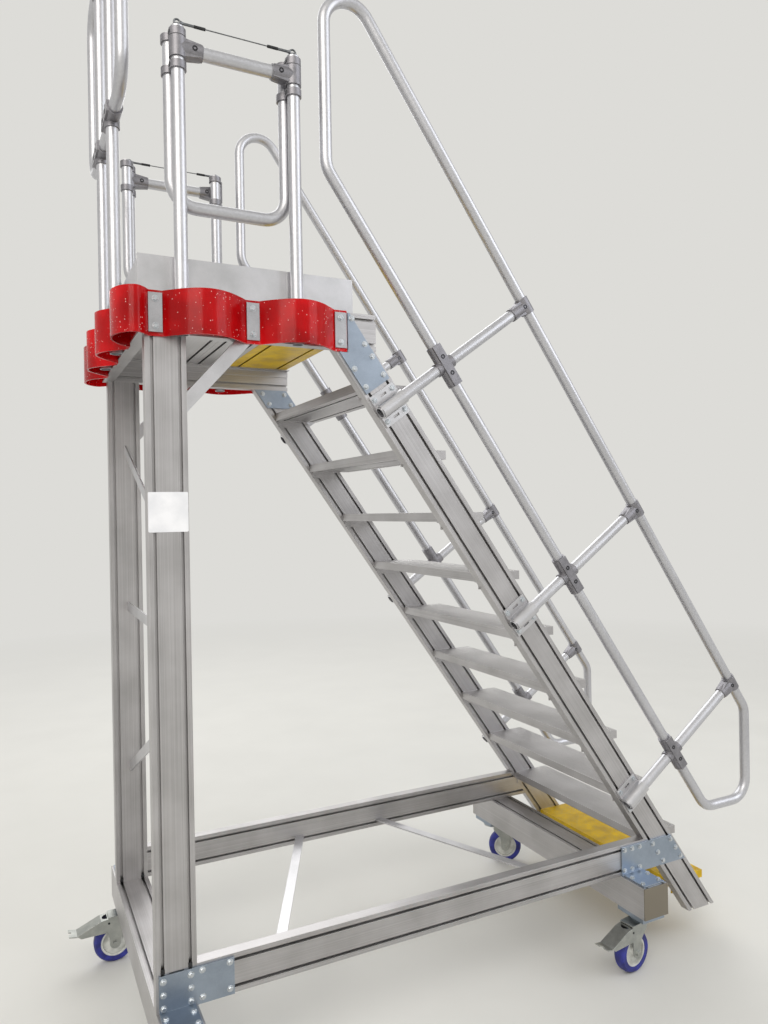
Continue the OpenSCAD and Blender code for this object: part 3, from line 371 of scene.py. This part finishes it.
# Each piece added here is one mesh with one material, on one body
def finishPiece(name, mesh, material, body="chassis", sharpAngle=35):
    bmesh.ops.recalc_face_normals(mesh, faces=mesh.faces)
    data = bpy.data.meshes.new(name)
    mesh.to_mesh(data)
    mesh.free()
    for face in data.polygons:
        face.use_smooth = True
    data.set_sharp_from_angle(angle=radians(sharpAngle))
    data.materials.append(material)
    piece = bpy.data.objects.new(name, data)
    bpy.context.scene.collection.objects.link(piece)
    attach(piece, body)
    return piece


# Turns a shape drawn along +Z so that it stands at a place and points the given way
def facing(place, way):
    return Matrix.Translation(place) @ Vector(way).to_track_quat("Z", "Y").to_matrix().to_4x4()


def disc(mesh, matrix, radius, height, top=None, segments=24, lift=0):
    raised = matrix @ Matrix.Translation((0, 0, (lift + height / 2) / 1000))
    return bmesh.ops.create_cone(mesh, cap_ends=True, segments=segments, radius1=radius / 1000,
                                 radius2=(radius if top is None else top) / 1000, depth=height / 1000,
                                 matrix=raised)["verts"]


def addBlock(mesh, low, high):
    low, high = Vector(low), Vector(high)
    bmesh.ops.create_cube(mesh, size=1, matrix=Matrix.Translation((low + high) / 2)
                          @ Matrix.Diagonal((*(high - low), 1)))


# A block on the left or right side, between two distances from the middle
def addSideBlock(mesh, side, spanX, reach, spanZ):
    start, end = sorted(side * y for y in reach)
    addBlock(mesh, at(spanX[0], start, spanZ[0]), at(spanX[1], end, spanZ[1]))


def newVerts(made):
    return [g for g in made if isinstance(g, bmesh.types.BMVert)]


# Hexagon bolt head on a washer, seen from outside
hexBolt = {"washer": 10, "washerHigh": 1.6, "head": 7.5, "headHigh": 5.5, "chamfer": 6.4, "chamferHigh": 1,
           "sunk": 0.6}


def addBolt(mesh, place, way):
    matrix, look = facing(place, way), hexBolt
    disc(mesh, matrix, look["washer"], look["washerHigh"] + look["sunk"], lift=-look["sunk"])
    disc(mesh, matrix, look["head"], look["headHigh"] - look["chamferHigh"], segments=6,
         lift=look["washerHigh"])
    disc(mesh, matrix, look["head"], look["chamferHigh"], top=look["chamfer"], segments=6,
         lift=look["washerHigh"] + look["headHigh"] - look["chamferHigh"])


# Socket screw, seen from outside: a dark round head with a six-sided recess
socketScrew = {"radius": 8, "height": 1.2, "chamfer": 0.6, "recess": 4.2, "depth": 3.2, "sunk": 9,
               "segments": 24}


def addSocketScrew(mesh, place, way):
    matrix, look = facing(place, way), socketScrew
    made = disc(mesh, matrix, look["radius"], look["sunk"] + look["height"] - look["chamfer"],
                segments=look["segments"], lift=-look["sunk"])
    faces = {face for vert in made for face in vert.link_faces}
    top = max(faces, key=lambda face: face.calc_center_median().dot(Vector(way)))
    for radius, lift, sixSided in ((look["radius"] - look["chamfer"], look["height"], False),
                                   (look["recess"], look["height"], True),
                                   (look["recess"], look["height"] - look["depth"], True)):
        bmesh.ops.inset_individual(mesh, faces=[top], thickness=0)
        for vert in top.verts:
            spot = matrix.inverted() @ vert.co
            angle = atan2(spot.y, spot.x)
            fromFlat = radians((degrees(angle) + 30) % 60 - 30)
            reach = radius / 1000 * (cos(radians(30)) / cos(fromFlat) if sixSided else 1)
            vert.co = matrix @ Vector((reach * cos(angle), reach * sin(angle), lift / 1000))


# Places on the stair's side, from a distance along its slope or from a height
def slopePoint(along, off):
    slope = radians(stair["slope"])
    return (stair["foot"] - along * cos(slope) + off * sin(slope), along * sin(slope) + off * cos(slope))


def slopeAtHeight(z, off):
    slope = radians(stair["slope"])
    return stair["foot"] - z / tan(slope) + off / sin(slope)


# Small plates inside the stair's top joints
innerPlates = {"thick": 6, "margin": 3, "z": (2253, 2330), "boltZ": (2270, 2313)}
bolts, plates = bmesh.new(), bmesh.new()
for side in sides:
    low, high = innerPlates["z"]
    near, far = innerPlates["margin"], layout["profile"] - innerPlates["margin"]
    corners = [(slopeAtHeight(z, off), z) for z, off in ((low, near), (low, far), (high, far), (high, near))]
    sheet = plates.faces.new([plates.verts.new(at(x, side * layout["innerFace"], z)) for x, z in corners])
    grown = bmesh.ops.extrude_face_region(plates, geom=[sheet], use_keep_orig=True)["geom"]
    bmesh.ops.translate(plates, verts=newVerts(grown), vec=(0, -side * innerPlates["thick"] / 1000, 0))
    face = side * (layout["innerFace"] - innerPlates["thick"])
    for z in innerPlates["boltZ"]:
        for off in layout["grooves"]:
            addBolt(bolts, at(slopeAtHeight(z, off), face, z), (0, -side, 0))
finishPiece("inner_joint_plates", plates, zincSteel)

# Bolts of the joint plates: on the rails, the posts, the stringers and the beams' tabs
jointBolts = {"railX": (134, 217, 1797, 1836, 1875), "railZ": (362, 442), "footZ": (359, 398, 437),
              "topAlong": (2682.6, 2752.6), "topOnBeam": ((658, 2431), (704, 2351)), "tabY": (510, 566),
              "tabStep": 40, "tabTop": 348}
places = [(x, z) for x in jointBolts["railX"] for z in jointBolts["railZ"]]
places += [(x, z) for x in layout["grooves"] for z in jointBolts["footZ"]]
places += [(slopeAtHeight(z, off), z) for z in jointBolts["footZ"] for off in layout["grooves"]]
places += [slopePoint(along, off) for along in jointBolts["topAlong"] for off in layout["grooves"]]
places += jointBolts["topOnBeam"]
outerPlate = layout["sideFace"] + layout["plateThick"]
for side in sides:
    for x, z in places:
        addBolt(bolts, at(x, side * outerPlate, z), (0, side, 0))
    for x in layout["beamX"]:
        for y in jointBolts["tabY"]:
            for way in sides:
                addBolt(bolts, at(x + way * jointBolts["tabStep"], side * y, jointBolts["tabTop"]), (0, 0, 1))
finishPiece("joint_bolts", bolts, boltSteel)

# Black ends of the posts' grooves, outside over the foot plates and inside over the beam, and a black strip
# along the foot plate's top edge that is a painted shadow of the gap there
grooveEnd = {"size": 12, "high": 14, "proud": 1.5, "sunk": 3, "outZ": 456, "inZ": 343, "shadowLineX": (38, 82),
             "shadowLineZ": 454.6, "shadowLineHigh": 1.5, "shadowLineProud": 0.8, "shadowLineSunk": 1}
mesh = bmesh.new()
outer, inner = layout["sideFace"], layout["innerFace"]
for side in sides:
    for x in layout["grooves"]:
        spanX = (x - grooveEnd["size"] / 2, x + grooveEnd["size"] / 2)
        addSideBlock(mesh, side, spanX, (outer - grooveEnd["sunk"], outer + grooveEnd["proud"]),
                     (grooveEnd["outZ"], grooveEnd["outZ"] + grooveEnd["high"]))
        addSideBlock(mesh, side, spanX, (inner - grooveEnd["proud"], inner + grooveEnd["sunk"]),
                     (grooveEnd["inZ"], grooveEnd["inZ"] + grooveEnd["high"]))
    # Black strip along the foot plate's top edge: painted shadow of the gap over the plate
    addSideBlock(mesh, side, grooveEnd["shadowLineX"],
                 (outer - grooveEnd["shadowLineSunk"], outer + grooveEnd["shadowLineProud"]),
                 (grooveEnd["shadowLineZ"], grooveEnd["shadowLineZ"] + grooveEnd["shadowLineHigh"]))
finishPiece("post_groove_ends_and_painted_shadow_line", mesh, blackNylon)

# Bolts of the bumper's clamp strips
stripBolts = {"z": (2349, 2428), "proud": 11.6}
mesh = bmesh.new()
for z in stripBolts["z"]:
    for x in layout["stripX"]:
        for side in sides:
            addBolt(mesh, at(x, side * (layout["sideFace"] + stripBolts["proud"]), z), (0, side, 0))
    for y in (-layout["stripY"], 0, layout["stripY"]):
        addBolt(mesh, at(layout["endFace"] - stripBolts["proud"], y, z), (-1, 0, 0))
finishPiece("strip_bolts", mesh, boltSteel)

# Bolts of the outriggers' brackets, and set screws in the handrails' crosses and tees
outrigger = {"along": (764, 1675.8, 2587.6), "boltReach": 42, "cross": 306, "crossFace": 520.5,
             "crossReach": 32, "tee": 727, "teeMiddle": 494, "teeScrew": 15, "teeFace": 23.8}
bolts, screws = bmesh.new(), bmesh.new()
for side in sides:
    for along in outrigger["along"]:
        for way in sides:
            for off in layout["grooves"]:
                x, z = slopePoint(along + way * outrigger["boltReach"], off)
                addBolt(bolts, at(x, side * outerPlate, z), (0, side, 0))
            x, z = slopePoint(along + way * outrigger["crossReach"], outrigger["cross"])
            addSocketScrew(screws, at(x, side * outrigger["crossFace"], z), (0, side, 0))
            x, z = slopePoint(along, outrigger["tee"] - outrigger["teeScrew"])
            y = side * outrigger["teeMiddle"] + way * outrigger["teeFace"]
            addSocketScrew(screws, at(x, y, z), (0, way, 0))
finishPiece("bracket_bolts", bolts, boltSteel)

# The guardrails' tees, clamps and crosses have the same screws
guard = {"tee": 3167, "teeScrew": 46, "teeFace": 23.8, "clampZ": (3114, 3210), "clampFace": 24.6,
         "endCross": 3096, "crossFace": 26.5, "crossReach": 32, "endTop": 3721}
for side in sides:
    y = side * layout["guardY"]
    for x, inward in zip(layout["guardX"], (1, -1)):
        for way in sides:
            spot = at(x + inward * guard["teeScrew"], y + way * guard["teeFace"], guard["tee"])
            addSocketScrew(screws, spot, (0, way, 0))
        for z in guard["clampZ"]:
            addSocketScrew(screws, at(x - guard["clampFace"], y, z), (-1, 0, 0))
for y in layout["endGuardY"]:
    for way in sides:
        spot = at(layout["endGuardX"] - guard["crossFace"], y + way * guard["crossReach"], guard["endCross"])
        addSocketScrew(screws, spot, (-1, 0, 0))
    spot = at(layout["endGuardX"] - guard["teeFace"], y, guard["endTop"] - guard["teeScrew"])
    addSocketScrew(screws, spot, (-1, 0, 0))
finishPiece("set_screws", screws, blackSteel)
print("bolts and screws done")

# Guard wires between the post tops: cap and eye on each post, pressed ends, black sleeves
wire = {"postTop": 3229, "z": 3244, "rope": 1.8, "cap": 19.5, "capRim": 17.5, "capHigh": 4, "capSunk": 1,
        "stem": 6, "stemHigh": 10, "eye": 9, "eyeWire": 3, "eyeGap": 1, "collar": 6.5, "collarLong": 8,
        "swage": 4, "swageLong": 34, "sleeve": 4.6, "sleeveLong": 34, "overlap": 3}
ropes, sleeves, ends = bmesh.new(), bmesh.new(), bmesh.new()
for side in sides:
    y = side * layout["guardY"]
    for x, inward in zip(layout["guardX"], (1, -1)):
        base = facing(at(x, y, wire["postTop"] - wire["capSunk"]), (0, 0, 1))
        disc(ends, base, wire["cap"], wire["capHigh"], top=wire["capRim"])
        disc(ends, base, wire["stem"], wire["stemHigh"], lift=wire["capHigh"], segments=16)
        rim = Matrix.Translation(at(x + wire["eye"], y, wire["z"]))
        bent = bmesh.ops.create_circle(ends, segments=10, radius=wire["eyeWire"] / 1000, matrix=rim)["verts"]
        edges = list({edge for vert in bent for edge in vert.link_edges})
        bmesh.ops.spin(ends, geom=edges, cent=at(x, y, wire["z"]), axis=(0, 1, 0), angle=2 * pi, steps=24,
                       use_merge=True)
        run = facing(at(x + inward * (wire["eye"] + wire["eyeGap"]), y, wire["z"]), (inward, 0, 0))
        disc(ends, run, wire["collar"], wire["collarLong"], top=wire["swage"], segments=16)
        disc(ends, run, wire["swage"], wire["swageLong"], lift=wire["collarLong"], segments=16)
        disc(sleeves, run, wire["sleeve"], wire["sleeveLong"],
             lift=wire["collarLong"] + wire["swageLong"] - wire["overlap"], segments=16)
    reach = wire["eye"] + wire["swageLong"]
    start, end = layout["guardX"][0] + reach, layout["guardX"][1] - reach
    disc(ropes, facing(at(start, y, wire["z"]), (1, 0, 0)), wire["rope"], end - start, segments=12)
finishPiece("guard_wires", ropes, ropeSteel)
finishPiece("guard_wire_sleeves", sleeves, blackNylon)
finishPiece("guard_wire_ends", ends, ropeSteel)

# Blank plate on the left post, with rounded corners
plate = {"x": (2, 118), "z": (1747, 1865), "thick": 1.6, "corner": 4, "segments": 4}
mesh = bmesh.new()
addSideBlock(mesh, -1, plate["x"], (layout["sideFace"], layout["sideFace"] + plate["thick"]), plate["z"])
through = [edge for edge in mesh.edges if edge.verts[0].co.y != edge.verts[1].co.y]
bmesh.ops.bevel(mesh, geom=through, offset=plate["corner"] / 1000, affect="EDGES",
                segments=plate["segments"], profile=0.5, material=-1)
finishPiece("post_plate", mesh, whitePlate)
print("wires and plate done")

# Bumper skin: one bent sheet with hollow lobes between the clamp strips
lobes = {"stripHalf": 23, "gap": 0.3, "depth": 80, "cornerDepth": 84, "cornerPower": 0.8, "thick": 6,
         "z": (2320, 2454), "steps": 40, "cornerSteps": 60, "rows": 4, "sharpAngle": 50}


# Walks from start round a corner to end, swelling outwards by a sine and turning between two directions
def lobePath(start, corner, end, turns, depth, power, steps):
    points = []
    first, second = (corner - start).length, (end - corner).length
    for k in range(steps + 1):
        walked = k / steps * (first + second)
        if walked < first:
            base = start + (corner - start) * walked / first
        else:
            base = corner + (end - corner) * ((walked - first) / second)
        turn = radians(turns[0] + k / steps * (turns[1] - turns[0]))
        swell = depth * sin(pi * k / steps) ** power if 0 < k < steps else 0
        points.append(base + swell * Vector((cos(turn), sin(turn))))
    return points


def straightLobe(start, end, turn):
    return lobePath(start, start, end, (turn, turn), lobes["depth"], 1, lobes["steps"])


# Half of the outline, from the front strip round the corner to the middle, and its mirror image
def bumperPath():
    half = lobes["stripHalf"]
    x, y = layout["endFace"] - lobes["gap"], layout["sideFace"] + lobes["gap"]
    rear, middle, front = layout["stripX"]
    points = [Vector((front + half, y))]
    points += straightLobe(Vector((front - half, y)), Vector((middle + half, y)), 90)
    points += straightLobe(Vector((middle - half, y)), Vector((rear + half, y)), 90)
    points += lobePath(Vector((rear - half, y)), Vector((x, y)), Vector((x, layout["stripY"] + half)),
                       (90, 180), lobes["cornerDepth"], lobes["cornerPower"], lobes["cornerSteps"])
    points += straightLobe(Vector((x, layout["stripY"] - half)), Vector((x, half)), 180)
    points.append(Vector((x, 0)))
    return points + [Vector((p.x, -p.y)) for p in reversed(points[:-1])]


mesh = bmesh.new()
low, high = lobes["z"]
line = [mesh.verts.new(at(p.x, p.y, low)) for p in bumperPath()]
rim = [mesh.edges.new(pair) for pair in zip(line, line[1:])]
for row in range(lobes["rows"]):
    risen = bmesh.ops.extrude_edge_only(mesh, edges=rim)["geom"]
    rim = [g for g in risen if isinstance(g, bmesh.types.BMEdge)]
    bmesh.ops.translate(mesh, verts=newVerts(risen), vec=(0, 0, (high - low) / (1000 * lobes["rows"])))
bmesh.ops.remove_doubles(mesh, verts=mesh.verts, dist=0.0001)
bmesh.ops.recalc_face_normals(mesh, faces=mesh.faces)
inside = at(sum(layout["guardX"]) / 2, 0, low)
if sum(face.normal.dot(face.calc_center_median() - inside) for face in mesh.faces) < 0:
    bmesh.ops.reverse_faces(mesh, faces=mesh.faces)
bmesh.ops.solidify(mesh, geom=mesh.faces, thickness=-lobes["thick"] / 1000)
bumper = finishPiece("bumper_skin", mesh, redBumper, sharpAngle=lobes["sharpAngle"])
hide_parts("bumper")

# Red lining of the beams inside the lobes, which leaves the beams' lower edge bare
lining = {"gap": 0.1, "thick": 1.5, "z": (2336, 2448), "side": ((54, 301), (347, 594), (-15.2, 8)),
          "end": ((23, 255), (301, 468))}
mesh = bmesh.new()
near, far = lining["gap"], lining["gap"] + lining["thick"]
for side in sides:
    for spanX in lining["side"]:
        addSideBlock(mesh, side, spanX, (layout["sideFace"] + near, layout["sideFace"] + far), lining["z"])
    for spanY in lining["end"]:
        addSideBlock(mesh, side, (layout["endFace"] - far, layout["endFace"] - near), spanY, lining["z"])
finishPiece("bumper_lining", mesh, redBumper)
print("bumper done")

# Open lower ends of the guardrail posts, almost down to the bumper's lower edge
postEnds = {"outer": 20.4, "inner": 17, "z": (2325, 2334), "steps": 32}
mesh = bmesh.new()
spots = [(x, side * layout["guardY"]) for x in layout["guardX"] for side in sides]
spots += [(layout["endGuardX"], y) for y in layout["endGuardY"]]
low, high = postEnds["z"]
inner, outer = postEnds["inner"], postEnds["outer"]
for x, y in spots:
    ring = [mesh.verts.new(at(x + radius, y, z))
            for radius, z in ((inner, low), (outer, low), (outer, high), (inner, high))]
    loop = [mesh.edges.new(pair) for pair in zip(ring, ring[1:] + ring[:1])]
    bmesh.ops.spin(mesh, geom=loop, cent=at(x, y, low), axis=(0, 0, 1), angle=2 * pi, steps=postEnds["steps"],
                   use_merge=True)
finishPiece("guard_post_ends", mesh, tubeMetal)

# Castors: nuts under the plate, ball race, brake pedal pin, dust covers of the wheel. The turn is in degrees
swivels = {"rear_left": (layout["beamX"][0], -511, 180), "rear_right": (layout["beamX"][0], 511, 180),
           "front_left": (layout["beamX"][1], -511, 188), "front_right": (layout["beamX"][1], 511, -30)}
castor = {"plateFoot": 202, "nuts": ((-40, -52), (-40, 52), (40, -52), (40, 52)), "race": 43.5,
          "raceTop": 193, "raceHigh": 4, "pinAhead": 85, "pinZ": 164, "pinRadius": 4.3, "pinReach": 32,
          "trail": 62, "axle": 80, "cover": 26, "coverRim": 21, "coverFrom": 8, "coverHigh": 3}


def dressCastor(corner, x, y, turn):
    ahead = Vector((cos(radians(turn)), sin(radians(turn)), 0))
    across = Vector((-ahead.y, ahead.x, 0))
    nuts, race, pin, covers = bmesh.new(), bmesh.new(), bmesh.new(), bmesh.new()
    for stepX, stepY in castor["nuts"]:
        addBolt(nuts, at(x + stepX, y + stepY, castor["plateFoot"]), (0, 0, -1))
    disc(race, facing(at(x, y, castor["raceTop"]), (0, 0, -1)), castor["race"], castor["raceHigh"],
         segments=48)
    middle = at(x, y, castor["pinZ"]) + ahead * castor["pinAhead"] / 1000
    disc(pin, facing(middle - across * castor["pinReach"] / 1000, across), castor["pinRadius"],
         2 * castor["pinReach"], segments=20)
    middle = at(x, y, castor["axle"]) + ahead * castor["trail"] / 1000
    for way in sides:
        outside = facing(middle + across * way * castor["coverFrom"] / 1000, across * way)
        disc(covers, outside, castor["cover"], castor["coverHigh"], top=castor["coverRim"], segments=40)
    finishPiece("castor_nuts_" + corner, nuts, boltSteel)
    finishPiece("ball_race_" + corner, race, zincSteel, "swivel_" + corner)
    finishPiece("pedal_pin_" + corner, pin, blackSteel, "swivel_" + corner)
    finishPiece("wheel_covers_" + corner, covers, hubGrey, "wheel_" + corner)


for corner, place in swivels.items():
    dressCastor(corner, *place)
print("castors dressed")

# Studio: a pale floor that runs into a pale backdrop, and three soft lamps that face the object's middle
studio = {"floor": {"dark": "#d2d1cd", "light": "#d6d5d1"}, "levels": (0.3, 0.7), "backdrop": "#dddcd8",
          "fadeFrom": 3.5, "fadeTo": 10, "size": 40, "air": "#f4f4f1", "airLight": 0.8, "aim": 1.4}
lamps = ({"place": (-5.5, -6.0, 6.5), "size": 5.5, "watts": 330, "colour": "#fffaf2"},
         {"place": (5.0, -5.0, 5.5), "size": 5, "watts": 160, "colour": "#f3f7ff"},
         {"place": (0.5, 6.0, 7.0), "size": 6, "watts": 260, "colour": "#ffffff"})
mesh = bmesh.new()
bmesh.ops.create_grid(mesh, x_segments=1, y_segments=1, size=studio["size"])
floorData = bpy.data.meshes.new("floor")
mesh.to_mesh(floorData)
mesh.free()
floor = bpy.data.objects.new("floor", floorData)
bpy.context.scene.collection.objects.link(floor)
material, tree, shader, straight = startFinish("floorPaint", {"Roughness": 0.7})
dust = addNode(tree, "ShaderNodeTexNoise", {"Scale": 2.0, "Detail": 5.0}, {"Vector": straight})
tree.links.new(tones(tree, dust.outputs[0], studio["levels"], studio["floor"]), shader.inputs["Base Color"])
away = addNode(tree, "ShaderNodeVectorMath", links={0: straight}, operation="LENGTH")
faded = spread(tree, away.outputs["Value"], 0, 1, studio["fadeFrom"], studio["fadeTo"])
glow = addNode(tree, "ShaderNodeEmission", {"Color": srgb(studio["backdrop"])})
blend = addNode(tree, "ShaderNodeMixShader", links={0: faded, 1: shader.outputs[0], 2: glow.outputs[0]})
tree.links.new(blend.outputs[0], tree.nodes["Material Output"].inputs["Surface"])
floorData.materials.append(material)

for lamp in lamps:
    data = bpy.data.lights.new("softbox", "AREA")
    data.shape = "SQUARE"
    data.size = lamp["size"]
    data.energy = lamp["watts"]
    data.color = srgb(lamp["colour"])[:3]
    softbox = bpy.data.objects.new("softbox", data)
    place = Vector(lamp["place"])
    softbox.matrix_world = facing(place, place - Vector((0, 0, studio["aim"])))
    bpy.context.scene.collection.objects.link(softbox)

# The camera, and what shines or is seen through, meets the backdrop. The rest of the light is the air's
world = bpy.data.worlds.new("studio")
bpy.context.scene.world = world
world.use_nodes = True
tree = world.node_tree
light = tree.nodes["Background"]
light.inputs["Color"].default_value = srgb(studio["air"])
light.inputs["Strength"].default_value = studio["airLight"]
shown = addNode(tree, "ShaderNodeBackground", {"Color": srgb(studio["backdrop"])})
ray = addNode(tree, "ShaderNodeLightPath").outputs
seen = addNode(tree, "ShaderNodeMath", links={0: ray["Is Camera Ray"], 1: ray["Is Glossy Ray"]},
               operation="MAXIMUM")
seen = addNode(tree, "ShaderNodeMath", links={0: seen.outputs[0], 1: ray["Is Transmission Ray"]},
               operation="MAXIMUM")
blend = addNode(tree, "ShaderNodeMixShader",
                links={0: seen.outputs[0], 1: light.outputs[0], 2: shown.outputs[0]})
tree.links.new(blend.outputs[0], tree.nodes["World Output"].inputs["Surface"])
bpy.context.scene.view_settings.view_transform = "Standard"
print("studio done")
